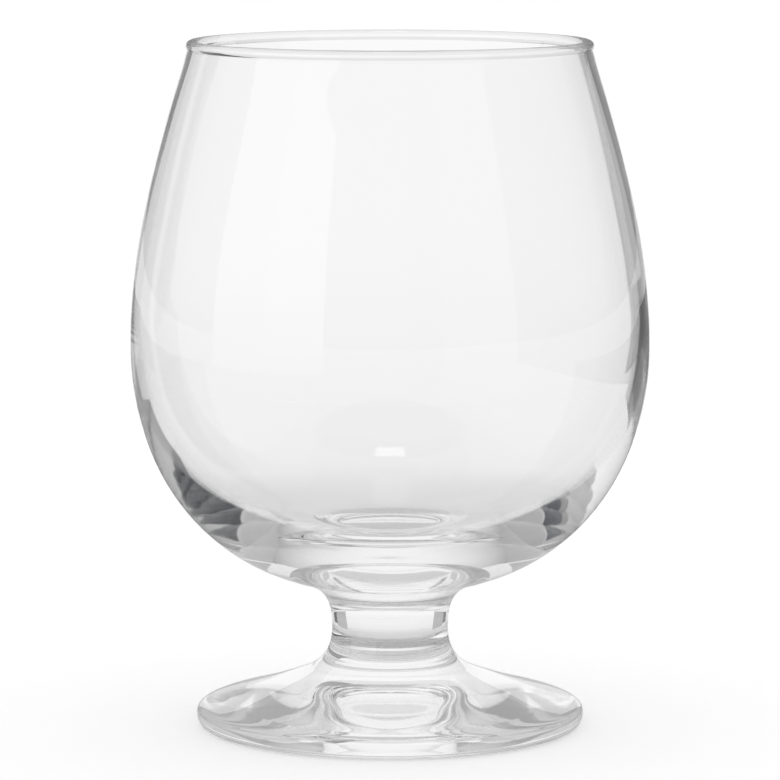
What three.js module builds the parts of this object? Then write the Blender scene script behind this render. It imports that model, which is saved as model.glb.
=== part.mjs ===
// A short-stemmed beer goblet of clear glass. It is made of three pieces that are fused while hot:
// a blown bowl, a drawn stem and a pressed foot. They meet at two flat round welds.
// Millimetres, +Z up, origin where the axis of the glass meets the table.

import * as THREE from "three";

// Foot
const footDiameter = 76.4;
const footHeight = 9.9; // table to the weld under the stem
const footEdgeHeight = 2.5; // widest line of the rounded edge above the table
const footEdgeShoulder = 2.4; // how far the rounded edge carries up before the upper face takes over
const footFall = 21; // degrees, slope of the upper face where it leaves the weld
const restingDiameter = 73.8; // outside of the flat ring that the glass stands on
const restingWidth = 7.5; // width of that ring
const puntDepth = 2.7; // hollow under the middle of the foot

// Stem
const stemLength = 18.5; // foot weld to bowl weld
const waistDiameter = 22.9;
const waistHeight = 9.6; // narrowest line above the foot weld
const footWeldDiameter = 37.6;
const bowlWeldDiameter = 34.2;
const stemFlare = 32; // degrees, slope of the stem's top edge where it opens to the bowl

// Bowl, outside
const bowlHeight = 106.6; // bowl weld to the top of the rim
const bellyDiameter = 102;
const bellyHeight = 46.6; // widest line above the bowl weld
const undersideRise = 13; // degrees, slope of the underside where it leaves the weld
const wallLean = 14.5; // degrees, how far the wall leans in under the rim
const rimDiameter = 79.7; // over the bead
const rimThickness = 2.4; // the bead is a round ring of this section
const rimUndercut = 33; // degrees that the bead turns back in below its widest line

// Bowl, inside
const bellyWall = 2; // belly's radius less the widest radius of the inside
const cavityBellyHeight = 49.5; // widest line of the inside above the bowl weld
const floorThickness = 7.5; // bowl weld to the middle of the inside floor
const heelReach = 0.708; // radius where wall turns into floor, as a share of the widest inside radius
const heelRise = 0.19; // height of that turn over the floor, as a share of the depth below the widest line
const heelSlope = 39; // degrees, slope of the inside at that turn

// Fullness of the curves: the share of its span that each end of a curve runs along its own direction
const upperFaceFullness = 0.73;
const hollowCurve = { middle: 0.635, ring: 0.51, ringLift: 0.14 };
const lowerFillet = { weld: 0.52, waist: 0.68 };
const upperFillet = { waist: 0.83, weld: 0.34 };
const underside = { weld: 0.66, belly: 0.45 };
const upperWall = { belly: 0.41, rim: 0.23 };
const innerWall = { rim: 0.1, belly: 0.34 };
const innerSide = { belly: 0.5, heel: 0.265 };
const innerFloor = { heel: 0.2, middle: 0.375 };

// Fineness of the facets
const sides = 48;
const wallSteps = 12; // along each long curve of the bowl
const filletSteps = 8; // along each shorter curve
const edgeSteps = 4; // round each small edge

const radians = THREE.MathUtils.degToRad;

// A unit step at an angle above the horizontal, as radius and height
function heading(degrees) {
  return new THREE.Vector2(Math.cos(radians(degrees)), Math.sin(radians(degrees)));
}

// The point reached from a start along a direction
function along(start, direction, length) {
  return start.clone().addScaledVector(direction, length);
}

// A smooth curve from one point to another, through the pull of two handles
function sweep(start, startHandle, endHandle, end, steps) {
  return new THREE.CubicBezierCurve(start, startHandle, endHandle, end).getPoints(steps);
}

// One closed body turned about the axis. The half outline runs from the axis, out along the bottom,
// up the outside and back to the axis over the top.
function turned(name, outline, baseHeight) {
  const points = outline.filter((point, i) => i === 0 || point.distanceTo(outline[i - 1]) > 1e-4);
  const geometry = new THREE.LatheGeometry(points, sides);
  geometry.rotateX(Math.PI / 2);
  const mesh = new THREE.Mesh(geometry, clearGlass());
  mesh.name = name;
  mesh.position.z = baseHeight;
  return mesh;
}

function clearGlass() {
  return new THREE.MeshStandardMaterial({
    color: 0xeaf0f0,
    roughness: 0.03,
    metalness: 0,
    transparent: true,
    opacity: 0.35,
  });
}

// Pressed foot: a hollow under the middle that runs out flat towards the ring it stands on, a blunt
// round edge and a sloping upper face that ends at the weld.
function foot() {
  const restingRadius = restingDiameter / 2;
  const puntRadius = restingRadius - restingWidth;
  const hollowTop = new THREE.Vector2(0, puntDepth);
  const hollowEdge = new THREE.Vector2(puntRadius, 0);
  const topPull = new THREE.Vector2(puntRadius * hollowCurve.middle, puntDepth);
  const edgePull = new THREE.Vector2(puntRadius * (1 - hollowCurve.ring), puntDepth * hollowCurve.ringLift);
  const hollow = sweep(hollowTop, topPull, edgePull, hollowEdge, filletSteps);

  const edgeReach = footDiameter / 2 - restingRadius;
  const edgeRise = footEdgeHeight;
  const edge = new THREE.EllipseCurve(restingRadius, edgeRise, edgeReach, edgeRise, -Math.PI / 2, 0);

  const widest = new THREE.Vector2(footDiameter / 2, footEdgeHeight);
  const weldEdge = new THREE.Vector2(footWeldDiameter / 2, footHeight);
  const slope = heading(-footFall);
  const slopeReach = ((widest.x - weldEdge.x) / slope.x) * upperFaceFullness;
  const shoulder = new THREE.Vector2(widest.x, widest.y + footEdgeShoulder);
  const upperFace = sweep(widest, shoulder, along(weldEdge, slope, slopeReach), weldEdge, filletSteps);

  const weldMiddle = new THREE.Vector2(0, footHeight);
  const underneath = [...hollow, ...edge.getPoints(edgeSteps)];
  return turned("foot", [...underneath, ...upperFace, weldMiddle], 0);
}

// Drawn stem: it leaves the foot along the foot's own slope, narrows to the waist and opens to the bowl.
function stem() {
  const waist = new THREE.Vector2(waistDiameter / 2, waistHeight);

  const lowerEdge = new THREE.Vector2(footWeldDiameter / 2, 0);
  const slope = heading(180 - footFall);
  const lowerReach = ((lowerEdge.x - waist.x) / -slope.x) * lowerFillet.weld;
  const belowWaist = new THREE.Vector2(waist.x, waist.y - waistHeight * lowerFillet.waist);
  const lower = sweep(lowerEdge, along(lowerEdge, slope, lowerReach), belowWaist, waist, filletSteps);

  const upperEdge = new THREE.Vector2(bowlWeldDiameter / 2, stemLength);
  const flare = heading(180 + stemFlare);
  const upperReach = ((upperEdge.x - waist.x) / -flare.x) * upperFillet.weld;
  const aboveWaist = new THREE.Vector2(waist.x, waist.y + (stemLength - waistHeight) * upperFillet.waist);
  const upper = sweep(waist, aboveWaist, along(upperEdge, flare, upperReach), upperEdge, filletSteps);

  const bottom = new THREE.Vector2(0, 0);
  const top = new THREE.Vector2(0, stemLength);
  return turned("stem", [bottom, ...lower, ...upper, top], footHeight);
}

// Blown bowl: a heavy base on the weld, a full belly, a thin even wall that leans in towards the
// mouth, and a round fire-polished bead at the rim.
function bowl() {
  const beadRadius = rimThickness / 2;
  const beadMiddle = new THREE.Vector2(rimDiameter / 2 - beadRadius, bowlHeight - beadRadius);
  const beadArc = (from, to) =>
    new THREE.EllipseCurve(beadMiddle.x, beadMiddle.y, beadRadius, beadRadius, radians(from), radians(to));
  const beadOutside = beadArc(-rimUndercut, 90).getPoints(edgeSteps);
  const beadInside = beadArc(90, 180 + wallLean).getPoints(edgeSteps);
  const neck = beadOutside[0];
  const lip = beadInside[edgeSteps];
  const leanDown = heading(wallLean - 90);

  const weldEdge = new THREE.Vector2(bowlWeldDiameter / 2, 0);
  const belly = new THREE.Vector2(bellyDiameter / 2, bellyHeight);
  const rise = heading(undersideRise);
  const riseReach = ((belly.x - weldEdge.x) / rise.x) * underside.weld;
  const belowBelly = new THREE.Vector2(belly.x, belly.y - bellyHeight * underside.belly);
  const lower = sweep(weldEdge, along(weldEdge, rise, riseReach), belowBelly, belly, wallSteps);

  const wallHeight = neck.y - belly.y;
  const aboveBelly = new THREE.Vector2(belly.x, belly.y + wallHeight * upperWall.belly);
  const belowNeck = along(neck, leanDown, wallHeight * upperWall.rim);
  const upper = sweep(belly, aboveBelly, belowNeck, neck, wallSteps);

  const innerBelly = new THREE.Vector2(belly.x - bellyWall, cavityBellyHeight);
  const innerHeight = lip.y - innerBelly.y;
  const aboveInner = new THREE.Vector2(innerBelly.x, innerBelly.y + innerHeight * innerWall.belly);
  const belowLip = along(lip, leanDown, innerHeight * innerWall.rim);
  const inner = sweep(lip, belowLip, aboveInner, innerBelly, wallSteps);

  const floorMiddle = new THREE.Vector2(0, floorThickness);
  const floorDepth = innerBelly.y - floorMiddle.y;
  const heel = new THREE.Vector2(innerBelly.x * heelReach, floorMiddle.y + floorDepth * heelRise);
  const heelUp = heading(heelSlope);
  const heelDown = heading(180 + heelSlope);

  const sideHeight = innerBelly.y - heel.y;
  const belowInner = new THREE.Vector2(innerBelly.x, innerBelly.y - sideHeight * innerSide.belly);
  const aboveHeel = along(heel, heelUp, heel.distanceTo(innerBelly) * innerSide.heel);
  const side = sweep(innerBelly, belowInner, aboveHeel, heel, filletSteps);

  const belowHeel = along(heel, heelDown, heel.distanceTo(floorMiddle) * innerFloor.heel);
  const floorPull = new THREE.Vector2(heel.x * innerFloor.middle, floorMiddle.y);
  const floor = sweep(heel, belowHeel, floorPull, floorMiddle, filletSteps);

  const bottom = new THREE.Vector2(0, 0);
  const outside = [bottom, ...lower, ...upper, ...beadOutside];
  const inside = [...beadInside, ...inner, ...side, ...floor];
  return turned("bowl", [...outside, ...inside], footHeight + stemLength);
}

const beerGlass = new THREE.Group();
beerGlass.name = "beer_glass";
beerGlass.add(foot(), stem(), bowl());

export default beerGlass;
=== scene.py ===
from math import atan2, cos, pi, radians, sin, tan

import bpy
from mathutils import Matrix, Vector


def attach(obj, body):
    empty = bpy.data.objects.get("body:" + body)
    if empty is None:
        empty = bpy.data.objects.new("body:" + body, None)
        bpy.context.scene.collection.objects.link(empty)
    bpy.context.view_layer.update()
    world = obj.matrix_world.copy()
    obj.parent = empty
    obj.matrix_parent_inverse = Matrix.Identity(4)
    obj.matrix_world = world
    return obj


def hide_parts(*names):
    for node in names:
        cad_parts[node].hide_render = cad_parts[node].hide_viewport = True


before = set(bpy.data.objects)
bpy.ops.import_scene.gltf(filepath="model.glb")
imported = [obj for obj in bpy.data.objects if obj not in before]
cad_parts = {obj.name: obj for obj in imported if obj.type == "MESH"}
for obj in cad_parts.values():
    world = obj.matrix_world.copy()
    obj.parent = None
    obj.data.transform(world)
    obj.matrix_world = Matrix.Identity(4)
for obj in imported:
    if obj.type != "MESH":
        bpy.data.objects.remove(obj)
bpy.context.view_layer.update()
scene = bpy.context.scene
mm = 0.001

white = (1, 1, 1, 1)
turning = {"steps": 288, "curvePoints": 22, "mergeDistance": 0.002, "sharpAngle": 40, "weldTolerance": 0.0001}


# small helpers

def pickOnly(obj):
    bpy.ops.object.select_all(action="DESELECT")
    obj.select_set(True)
    bpy.context.view_layer.objects.active = obj


def heading(degrees):
    return Vector((cos(radians(degrees)), sin(radians(degrees))))


# an outline point: place, handle before it, handle after it, all as (radius, height) in mm
def anchor(place, before=None, after=None):
    place = Vector(place)
    return place, Vector(before or place), Vector(after or place)


# outline points round a circular edge, with the handles that keep it round
def roundEdge(middle, radius, startAngle, endAngle, parts):
    turn = (endAngle - startAngle) / parts
    pull = 4 / 3 * tan(radians(turn) / 4) * radius
    points = []
    for i in range(parts + 1):
        angle = startAngle + turn * i
        place = middle + heading(angle) * radius
        along = heading(angle + 90) * pull
        points.append(anchor(place, place - along, place + along))
    return points


# a math node fed with sockets or plain numbers
def maths(tree, operation, *values):
    node = tree.nodes.new("ShaderNodeMath")
    node.operation = operation
    for slot, value in zip(node.inputs, values):
        if isinstance(value, bpy.types.NodeSocket):
            tree.links.new(value, slot)
        else:
            slot.default_value = value
    return node.outputs["Value"]


# goes from one result to the other as a socket's value passes between two limits
def mapRange(tree, value, limits, results, interpolation="SMOOTHSTEP"):
    node = tree.nodes.new("ShaderNodeMapRange")
    node.interpolation_type = interpolation
    node.inputs["From Min"].default_value = limits[0]
    node.inputs["From Max"].default_value = limits[1]
    node.inputs["To Min"].default_value = results[0]
    node.inputs["To Max"].default_value = results[1]
    tree.links.new(value, node.inputs["Value"])
    return node.outputs["Result"]


# draws the half outline as a curve in the XZ plane and spins it round the axis
def turnOutline(name, outline):
    bpy.ops.object.select_all(action="DESELECT")
    bpy.ops.curve.primitive_bezier_curve_add(radius=1, location=(0, 0, 0))
    curve = bpy.context.object
    curve.name = name
    curve.data.resolution_u = turning["curvePoints"]
    knots = curve.data.splines[0].bezier_points
    knots.add(len(outline) - len(knots))
    for knot, (place, before, after) in zip(knots, outline):
        knot.handle_left_type = knot.handle_right_type = "FREE"
        knot.co = (place.x * mm, 0, place.y * mm)
        knot.handle_left = (before.x * mm, 0, before.y * mm)
        knot.handle_right = (after.x * mm, 0, after.y * mm)
    bpy.ops.object.convert(target="MESH")
    piece = bpy.context.object
    bpy.ops.object.mode_set(mode="EDIT")
    bpy.ops.mesh.select_all(action="SELECT")
    bpy.ops.mesh.spin(steps=turning["steps"], angle=2 * pi, center=(0, 0, 0), axis=(0, 0, 1))
    bpy.ops.mesh.select_all(action="SELECT")
    bpy.ops.mesh.remove_doubles(threshold=turning["mergeDistance"] * mm)
    bpy.ops.object.mode_set(mode="OBJECT")
    return piece


# closes an open end with a flat fan of faces, which is where the pieces are fused
def closeWeld(piece, height):
    pickOnly(piece)
    bpy.ops.object.mode_set(mode="EDIT")
    bpy.ops.mesh.select_mode(type="VERT")
    bpy.ops.mesh.select_all(action="DESELECT")
    bpy.ops.object.mode_set(mode="OBJECT")
    for point in piece.data.vertices:
        point.select = abs(point.co.z - height * mm) < turning["weldTolerance"] * mm
    bpy.ops.object.mode_set(mode="EDIT")
    bpy.ops.mesh.mark_sharp()
    bpy.ops.mesh.extrude_edges_move(TRANSFORM_OT_translate={"value": (0, 0, 0)})
    bpy.ops.mesh.merge(type="CENTER")
    bpy.ops.object.mode_set(mode="OBJECT")


def finishTurning(piece, weldHeights):
    pickOnly(piece)
    bpy.ops.object.mode_set(mode="EDIT")
    bpy.ops.mesh.select_all(action="SELECT")
    bpy.ops.mesh.normals_make_consistent(inside=False)
    bpy.ops.object.mode_set(mode="OBJECT")
    bpy.ops.object.shade_smooth_by_angle(angle=radians(turning["sharpAngle"]))
    piece.data.materials.append(glassMaterial)
    piece.data.materials.append(weldMaterial)
    for face in piece.data.polygons:
        if any(abs(face.center.z - height * mm) < turning["weldTolerance"] * mm for height in weldHeights):
            face.material_index = 1


# materials

glassLook = {
    "tint": (0.995, 0.995, 0.995, 1),
    "bend": 1.52,
    "hazeScale": 30, "hazeNoise": (0.3, 0.7), "haze": (0.01, 0.04),
    "waveScale": 80, "waveDetail": 1, "waveHeight": 0.00002,
}


def makeGlass():
    material = bpy.data.materials.new("clearGlass")
    material.use_nodes = True
    tree = material.node_tree
    shader = tree.nodes["Principled BSDF"]
    shader.inputs["Base Color"].default_value = glassLook["tint"]
    shader.inputs["IOR"].default_value = glassLook["bend"]
    shader.inputs["Transmission Weight"].default_value = 1
    where = tree.nodes.new("ShaderNodeTexCoord")
    # low waves left by the blowing and fire polishing
    waves = tree.nodes.new("ShaderNodeTexNoise")
    waves.inputs["Scale"].default_value = glassLook["waveScale"]
    waves.inputs["Detail"].default_value = glassLook["waveDetail"]
    tree.links.new(where.outputs["Object"], waves.inputs["Vector"])
    bump = tree.nodes.new("ShaderNodeBump")
    bump.inputs["Distance"].default_value = glassLook["waveHeight"]
    tree.links.new(waves.outputs["Fac"], bump.inputs["Height"])
    tree.links.new(bump.outputs["Normal"], shader.inputs["Normal"])
    # a breath of haze that comes and goes over the surface
    haze = tree.nodes.new("ShaderNodeTexNoise")
    haze.inputs["Scale"].default_value = glassLook["hazeScale"]
    tree.links.new(where.outputs["Object"], haze.inputs["Vector"])
    amount = mapRange(tree, haze.outputs["Fac"], glassLook["hazeNoise"], glassLook["haze"], "LINEAR")
    tree.links.new(amount, shader.inputs["Roughness"])
    return material


# the welded faces don't show, so the three pieces look like one body of glass
def makeWeld():
    material = bpy.data.materials.new("fusedGlass")
    material.use_nodes = True
    tree = material.node_tree
    tree.nodes.remove(tree.nodes["Principled BSDF"])
    clear = tree.nodes.new("ShaderNodeBsdfTransparent")
    tree.links.new(clear.outputs["BSDF"], tree.nodes["Material Output"].inputs["Surface"])
    return material


glassMaterial = makeGlass()
weldMaterial = makeWeld()
print("materials ready")


# foot: sizes in mm and degrees, and shares of a span for the fullness of the curves, here and below

footSize = {
    "diameter": 76.4, "height": 9.9, "edgeHeight": 2.5, "edgeShoulder": 2.4, "roundness": 0.5523,
    "fall": 21, "faceFullness": 0.73, "restingDiameter": 73.8, "restingWidth": 7.5,
    "puntDepth": 2.7, "weldDiameter": 37.6, "hollowMiddle": 0.635, "hollowRing": 0.51, "hollowLift": 0.14,
}


def makeFoot(s):
    restingRadius = s["restingDiameter"] / 2
    puntRadius = restingRadius - s["restingWidth"]
    widest = Vector((s["diameter"] / 2, s["edgeHeight"]))
    weldEdge = Vector((s["weldDiameter"] / 2, s["height"]))
    slope = heading(-s["fall"])
    slopeReach = (widest.x - weldEdge.x) / slope.x * s["faceFullness"]
    edgeReach = widest.x - restingRadius
    ringPull = (puntRadius * (1 - s["hollowRing"]), s["puntDepth"] * s["hollowLift"])
    outline = [
        anchor((0, s["puntDepth"]), after=(puntRadius * s["hollowMiddle"], s["puntDepth"])),
        anchor((puntRadius, 0), before=ringPull),
        anchor((restingRadius, 0), after=(restingRadius + edgeReach * s["roundness"], 0)),
        anchor(
            widest,
            (widest.x, widest.y * (1 - s["roundness"])),
            (widest.x, widest.y + s["edgeShoulder"]),
        ),
        anchor(weldEdge, before=weldEdge + slope * slopeReach),
    ]
    piece = turnOutline("footTurned", outline)
    closeWeld(piece, s["height"])
    finishTurning(piece, [s["height"]])
    return piece


# stem

stemSize = {
    "length": 18.5, "waistDiameter": 22.9, "waistHeight": 9.6, "bowlWeldDiameter": 34.2, "flare": 32,
    "lowWeld": 0.52, "lowWaist": 0.68, "highWaist": 0.83, "highWeld": 0.34,
}


def makeStem(s, base):
    low = Vector((footSize["weldDiameter"] / 2, base))
    waist = Vector((s["waistDiameter"] / 2, base + s["waistHeight"]))
    high = Vector((s["bowlWeldDiameter"] / 2, base + s["length"]))
    slope = heading(180 - footSize["fall"])
    flare = heading(180 + s["flare"])
    lowReach = (low.x - waist.x) / -slope.x * s["lowWeld"]
    highReach = (high.x - waist.x) / -flare.x * s["highWeld"]
    outline = [
        anchor(low, after=low + slope * lowReach),
        anchor(
            waist,
            (waist.x, waist.y - s["waistHeight"] * s["lowWaist"]),
            (waist.x, waist.y + (high.y - waist.y) * s["highWaist"]),
        ),
        anchor(high, before=high + flare * highReach),
    ]
    piece = turnOutline("stemTurned", outline)
    closeWeld(piece, low.y)
    closeWeld(piece, high.y)
    finishTurning(piece, [low.y, high.y])
    return piece


# bowl

bowlSize = {
    "height": 106.6, "bellyDiameter": 102, "bellyHeight": 46.6, "rise": 13, "lean": 14.5,
    "rimDiameter": 79.7, "rimThickness": 2.4, "undercut": 33, "beadParts": 4,
    "bellyWall": 2, "cavityBellyHeight": 49.5, "floorThickness": 7.5,
    "heelReach": 0.708, "heelRise": 0.19, "heelSlope": 39,
    "undersideWeld": 0.66, "undersideBelly": 0.45, "upperBelly": 0.41, "upperRim": 0.23,
    "innerRim": 0.1, "innerBelly": 0.34, "sideBelly": 0.5, "sideHeel": 0.265,
    "floorHeel": 0.2, "floorMiddle": 0.375,
}


def makeBowl(s, base):
    weldEdge = Vector((stemSize["bowlWeldDiameter"] / 2, base))
    belly = Vector((s["bellyDiameter"] / 2, base + s["bellyHeight"]))
    rise = heading(s["rise"])
    leanDown = heading(s["lean"] - 90)
    beadRadius = s["rimThickness"] / 2
    beadMiddle = Vector((s["rimDiameter"] / 2 - beadRadius, base + s["height"] - beadRadius))
    bead = roundEdge(beadMiddle, beadRadius, -s["undercut"], 180 + s["lean"], s["beadParts"])
    neck = bead[0][0]
    lip = bead[-1][0]
    wallHeight = neck.y - belly.y
    innerBelly = Vector((belly.x - s["bellyWall"], base + s["cavityBellyHeight"]))
    innerHeight = lip.y - innerBelly.y
    floor = Vector((0, base + s["floorThickness"]))
    heel = Vector((innerBelly.x * s["heelReach"], floor.y + (innerBelly.y - floor.y) * s["heelRise"]))
    heelUp = heading(s["heelSlope"]) * (innerBelly - heel).length * s["sideHeel"]
    heelDown = heading(s["heelSlope"]) * (heel - floor).length * s["floorHeel"]
    riseReach = (belly.x - weldEdge.x) / rise.x * s["undersideWeld"]
    outline = [
        anchor(weldEdge, after=weldEdge + rise * riseReach),
        anchor(
            belly,
            (belly.x, belly.y - s["bellyHeight"] * s["undersideBelly"]),
            (belly.x, belly.y + wallHeight * s["upperBelly"]),
        ),
        anchor(neck, neck + leanDown * wallHeight * s["upperRim"], bead[0][2]),
        *bead[1:-1],
        anchor(lip, bead[-1][1], lip + leanDown * innerHeight * s["innerRim"]),
        anchor(
            innerBelly,
            (innerBelly.x, innerBelly.y + innerHeight * s["innerBelly"]),
            (innerBelly.x, innerBelly.y - (innerBelly.y - heel.y) * s["sideBelly"]),
        ),
        anchor(heel, heel + heelUp, heel - heelDown),
        anchor(floor, before=(heel.x * s["floorMiddle"], floor.y)),
    ]
    piece = turnOutline("bowlTurned", outline)
    closeWeld(piece, weldEdge.y)
    finishTurning(piece, [weldEdge.y])
    return piece


footPiece = makeFoot(footSize)
stemPiece = makeStem(stemSize, footSize["height"])
bowlPiece = makeBowl(bowlSize, footSize["height"] + stemSize["length"])
for piece, node in ((footPiece, "foot"), (stemPiece, "stem"), (bowlPiece, "bowl")):
    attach(piece, "root")
    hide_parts(node)
    print(node, "turned,", len(piece.data.polygons), "faces")


# studio

studio = {
    "floorSide": 6, "floorDrop": 0.3, "floorColour": (0.86, 0.86, 0.86, 1),
    "floorLift": 0.4, "floorLiftInGlass": 0.26, "floorLiftAtFoot": 0.1, "footShade": (55, 125),
    "backLevel": 1.0, "roomLevel": 0.25, "lightLevel": 0.75, "sinkSpan": (-0.5, -0.36),
}


def makeWorld():
    world = bpy.data.worlds.new("studioWhite")
    scene.world = world
    world.use_nodes = True
    tree = world.node_tree
    back = tree.nodes["Background"]
    back.inputs["Color"].default_value = white
    path = tree.nodes.new("ShaderNodeLightPath").outputs
    seen = maths(tree, "MAXIMUM", path["Is Camera Ray"], path["Is Transmission Ray"])
    mirrored = tree.nodes.new("ShaderNodeMix")
    mirrored.inputs["A"].default_value = studio["lightLevel"]
    mirrored.inputs["B"].default_value = studio["roomLevel"]
    tree.links.new(path["Is Glossy Ray"], mirrored.inputs["Factor"])
    level = tree.nodes.new("ShaderNodeMix")
    level.inputs["B"].default_value = studio["backLevel"]
    tree.links.new(mirrored.outputs["Result"], level.inputs["A"])
    tree.links.new(seen, level.inputs["Factor"])
    tree.links.new(level.outputs["Result"], back.inputs["Strength"])


def makeFloor():
    bpy.ops.object.select_all(action="DESELECT")
    bpy.ops.mesh.primitive_plane_add(size=studio["floorSide"], location=(0, 0, -studio["floorDrop"] * mm))
    floor = bpy.context.object
    floor.name = "floor"
    material = bpy.data.materials.new("paleTable")
    material.use_nodes = True
    tree = material.node_tree
    shader = tree.nodes["Principled BSDF"]
    shader.inputs["Base Color"].default_value = studio["floorColour"]
    shader.inputs["Roughness"].default_value = 1
    shader.inputs["Specular IOR Level"].default_value = 0
    shader.inputs["Emission Color"].default_value = white
    path = tree.nodes.new("ShaderNodeLightPath").outputs
    where = tree.nodes.new("ShaderNodeTexCoord")
    reach = tree.nodes.new("ShaderNodeVectorMath")
    reach.operation = "LENGTH"
    tree.links.new(where.outputs["Object"], reach.inputs[0])
    # through the glass the table is duller close to the foot: a painted shadow of the glass, where the lift
    # drops towards the foot
    limits = [edge * mm for edge in studio["footShade"]]
    results = (studio["floorLiftAtFoot"], studio["floorLiftInGlass"])
    shade = mapRange(tree, reach.outputs["Value"], limits, results)
    direct = maths(tree, "MULTIPLY", path["Is Camera Ray"], studio["floorLift"])
    lift = maths(tree, "MULTIPLY_ADD", path["Is Transmission Ray"], shade, direct)
    tree.links.new(lift, shader.inputs["Emission Strength"])
    floor.data.materials.append(material)


# the rays in the glass that a card shows to: how many faces they pass at most, how many turns they make,
# and how many mm they run at least from the glass to the card; other cards show to all rays in the glass,
# lamps also in what the outside mirrors, and mirror cards only there
plenty = 400
rayKinds = {
    "plain": {"faces": 2.5, "turns": (0, 2.5)},
    "stem": {"faces": 2.5, "turns": (0, 2.5), "reach": 18},
    "stemSide": {"faces": 2.5, "turns": (0, 2.5), "reach": 25},
    "edge": {"faces": 2.5, "turns": (2.5, 3.5)},
    "core": {"faces": 2.5, "turns": (3.5, plenty)},
    "walls": {"faces": plenty, "turns": (2.5, plenty)},
}


def cardMaterial(name, level, kind, extra):
    material = bpy.data.materials.new(name)
    material.use_nodes = True
    tree = material.node_tree
    tree.nodes.remove(tree.nodes["Principled BSDF"])
    surface = tree.nodes["Material Output"].inputs["Surface"]
    glow = tree.nodes.new("ShaderNodeEmission")
    glow.inputs["Color"].default_value = extra.get("colour", white)
    glow.inputs["Strength"].default_value = level
    tree.links.new(glow.outputs["Emission"], surface)
    if "fade" in extra or "sink" in extra:
        where = tree.nodes.new("ShaderNodeTexCoord")
        split = tree.nodes.new("ShaderNodeSeparateXYZ")
        tree.links.new(where.outputs["Object"], split.inputs["Vector"])
        # both run from -0.5 to 0.5 over the card, so 4 times the square is 1 at its sides
        across, up = split.outputs["X"], split.outputs["Y"]
        square = maths(tree, "MULTIPLY", across, across)
        strength = maths(tree, "MULTIPLY_ADD", square, -4 * extra.get("fade", 0), level)
        if "sink" in extra:
            foot = mapRange(tree, up, studio["sinkSpan"], (1 - extra["sink"] / level, 1))
            strength = maths(tree, "MULTIPLY", foot, strength)
        tree.links.new(strength, glow.inputs["Strength"])
    if kind in rayKinds:
        rays = rayKinds[kind]
        path = tree.nodes.new("ShaderNodeLightPath").outputs
        fewest, most = rays["turns"]
        passed = maths(tree, "LESS_THAN", path["Transmission Depth"], rays["faces"])
        turned = maths(tree, "COMPARE", path["Ray Depth"], (fewest + most) / 2, (most - fewest) / 2)
        chosen = maths(tree, "MULTIPLY", passed, turned)
        if "reach" in rays:
            away = maths(tree, "GREATER_THAN", path["Ray Length"], rays["reach"] * mm)
            chosen = maths(tree, "MULTIPLY", chosen, away)
        clear = tree.nodes.new("ShaderNodeBsdfTransparent")
        shown = tree.nodes.new("ShaderNodeMixShader")
        tree.links.new(chosen, shown.inputs["Fac"])
        tree.links.new(clear.outputs["BSDF"], shown.inputs[1])
        tree.links.new(glow.outputs["Emission"], shown.inputs[2])
        tree.links.new(shown.outputs["Shader"], surface)
    return material


# a card stands, lies or hangs near the glass and shows only in it
def makeCard(name, place, size, turn, level, kind):
    bpy.ops.object.select_all(action="DESELECT")
    bpy.ops.mesh.primitive_plane_add(size=1, location=Vector(place) * mm, rotation=turn)
    sheet = bpy.context.object
    sheet.name = name
    sheet.scale = (size[0] * mm, size[1] * mm, 1)
    sheet.data.materials.append(cardMaterial(name, level, kind, cardExtras.get(name, {})))
    sheet.visible_camera = False
    sheet.visible_diffuse = False
    sheet.visible_shadow = False
    sheet.visible_glossy = kind in ("lamp", "mirror")
    sheet.visible_transmission = kind != "mirror"


makeWorld()
makeFloor()

# fade: how much the level drops towards the sides; sink: how much it drops at the bottom
coolDark = (0.5, 0.65, 1, 1)
cardExtras = {
    "backPanel": {"sink": 0.065},
    "backFade": {"fade": 0.62, "sink": 0.065},
    "rightDark": {"colour": coolDark},
    "leftDark": {"colour": coolDark},
}

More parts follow.
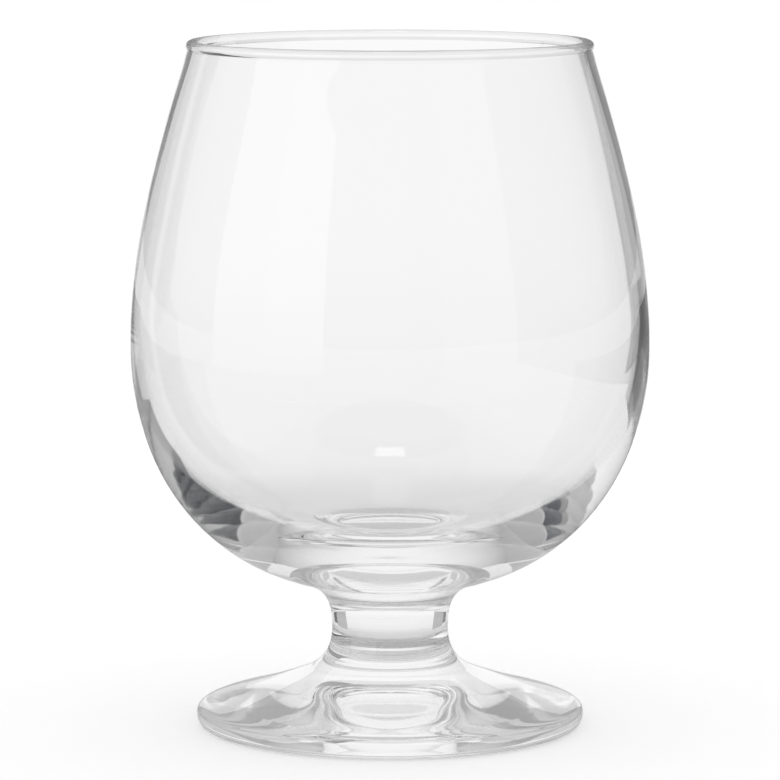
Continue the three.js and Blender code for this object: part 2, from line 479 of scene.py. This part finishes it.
# standing cards: plan of both ends (x, y, x, y), low edge, high edge, all in mm; level; rays
standingCards = {
    "backPanel": (-400, 305, 400, 305, 0, 600, 0.97, "all"),
    "backFade": (-190, 300, 190, 300, 0, 600, 0.97, "core"),
    "backTop": (-115, 303, 115, 303, 150, 390, 0.8, "all"),
    "backTopLeft": (-64, 302.5, -140, 302.5, 158, 270, 0.05, "plain"),
    "backHigh": (-260, 304, 260, 304, 390, 640, 0.5, "all"),
    "backMirror": (-120, 306, 120, 306, 0, 140, 0.97, "mirror"),
    "stemLeftGrey": (9, 26, 20, 26, 13, 30, 0.5, "stem"),
    "stemRightGrey": (-9, 26, -20, 26, 13, 30, 0.5, "stem"),
    "stemLeftDark": (20, 26, 32, 26, 15, 30, 0.08, "stemSide"),
    "stemRightDark": (-20, 26, -32, 26, 15, 30, 0.2, "stemSide"),
    "rightGrey": (190, 300, 365, 300, 0, 600, 0.43, "core"),
    "rightFar": (365, 300, 400, 30, 0, 600, 0.48, "core"),
    "rightNear": (400, 30, 420, -300, 0, 600, 0.5, "core"),
    "rightDark": (66, 79, 66, 9, 46, 84, 0.02, "core"),
    "rightLight": (66, 9, 66, -40, 46, 84, 0.55, "core"),
    "rightLow": (66, -12, 66, -42, 14, 38, 0.05, "core"),
    "rightFront": (150, -520, 600, -100, 0, 400, 0.24, "core"),
    "front": (-180, -700, 180, -700, 50, 500, 0.4, "core"),
    "rightStripLow": (54, 60, 112, 60, 33, 88, 0.1, "edge"),
    "rightStrip": (54, 60, 76, 60, 88, 140, 0.08, "edge"),
    "rightPale": (76, 60, 112, 60, 88, 140, 0.5, "edge"),
    "rightSide": (112, 60, 200, -150, 40, 300, 0.35, "edge"),
    "rightFlag": (115, 302, 400, 302, 0, 600, 0.33, "walls"),
    "leftStrip": (-54, 60, -70, 60, 92, 140, 0.06, "edge"),
    "leftStripBelly": (-54, 60, -78, 60, 45, 92, 0.08, "edge"),
    "leftStripLow": (-54, 60, -92, 60, 0, 45, 0.36, "edge"),
    "leftSide": (-70, 60, -200, -150, 45, 300, 0.85, "edge"),
    "leftFlag": (-115, 302, -400, 302, 0, 600, 0.8, "walls"),
    "leftGrey": (-190, 300, -430, 300, 0, 600, 0.38, "core"),
    "leftFar": (-430, 300, -430, 30, 0, 600, 0.48, "core"),
    "leftNear": (-430, 30, -430, -90, 0, 600, 0.5, "core"),
    "leftDark": (-66, 74, -66, 56, 46, 84, 0.04, "core"),
    "leftDim": (-66, 56, -66, 49, 46, 84, 0.22, "core"),
    "leftPale": (-66, 49, -66, 22, 51, 84, 0.48, "core"),
    "leftLight": (-66, 22, -66, -60, 46, 84, 1, "core"),
    "softbox": (-269, -513, -600, -100, 10, 390, 1.08, "lamp"),
}
for name, (startX, startY, endX, endY, low, high, level, kind) in standingCards.items():
    span = Vector((endX - startX, endY - startY))
    middle = ((startX + endX) / 2, (startY + endY) / 2, (low + high) / 2)
    makeCard(name, middle, (span.length, high - low), (pi / 2, 0, atan2(span.y, span.x)), level, kind)

# lying cards: middle (x, y, z), width, depth, all in mm; turn in degrees; level; rays
lyingCards = {
    "overhead": (0, -40, 830, 130, 130, 0, 3, "lamp"),
    "ceiling": (0, -30, 500, 700, 640, 0, 0.38, "core"),
    "ceilingLight": (0, -150, 495, 70, 70, 0, 1.5, "core"),
    "ceilingPale": (0, -30, 505, 700, 640, 0, 0.72, "walls"),
    # the next two sheets lie on the table under the glass and show only in it: a painted shadow of the glass
    # on the table at level 0.65, with a lighter sheet right under the foot at level 0.95
    "tableShadowUnderGlass": (0, -42, -0.15, 200, 195, 0, 0.65, "core"),
    "underFoot": (0, 8, -0.1, 62, 46, 0, 0.95, "core"),
    "rightTable": (211, 69, 0.5, 280, 255, -32.6, 0.42, "core"),
    "leftTable": (-211, 69, 0.5, 280, 255, 32.6, 0.42, "core"),
    "rightMirrorTable": (400, 500, 0.4, 700, 1100, 0, 0.2, "mirror"),
    "leftMirrorTable": (-400, 500, 0.4, 700, 1100, 0, 0.2, "mirror"),
}
for name, (x, y, z, width, depth, turn, level, kind) in lyingCards.items():
    makeCard(name, (x, y, z), (width, depth), (0, 0, radians(turn)), level, kind)
print("studio ready,", len(standingCards) + len(lyingCards), "cards")


# camera

view = {"distance": 0.93395, "height": 0.18493, "aim": 0.06622, "lens": 221.03, "bounces": 160}
bpy.ops.object.camera_add(location=(0, -view["distance"], view["height"]))
camera = bpy.context.object
sight = Vector((0, 0, view["aim"])) - camera.location
camera.rotation_euler = sight.to_track_quat("-Z", "Y").to_euler()
camera.data.lens = view["lens"]
scene.camera = camera

scene.view_settings.view_transform = "Standard"
# light turns many times inside the thick base before it leaves
for limit in ("max_bounces", "transmission_bounces", "glossy_bounces", "transparent_max_bounces"):
    setattr(scene.cycles, limit, view["bounces"])
print("camera set")
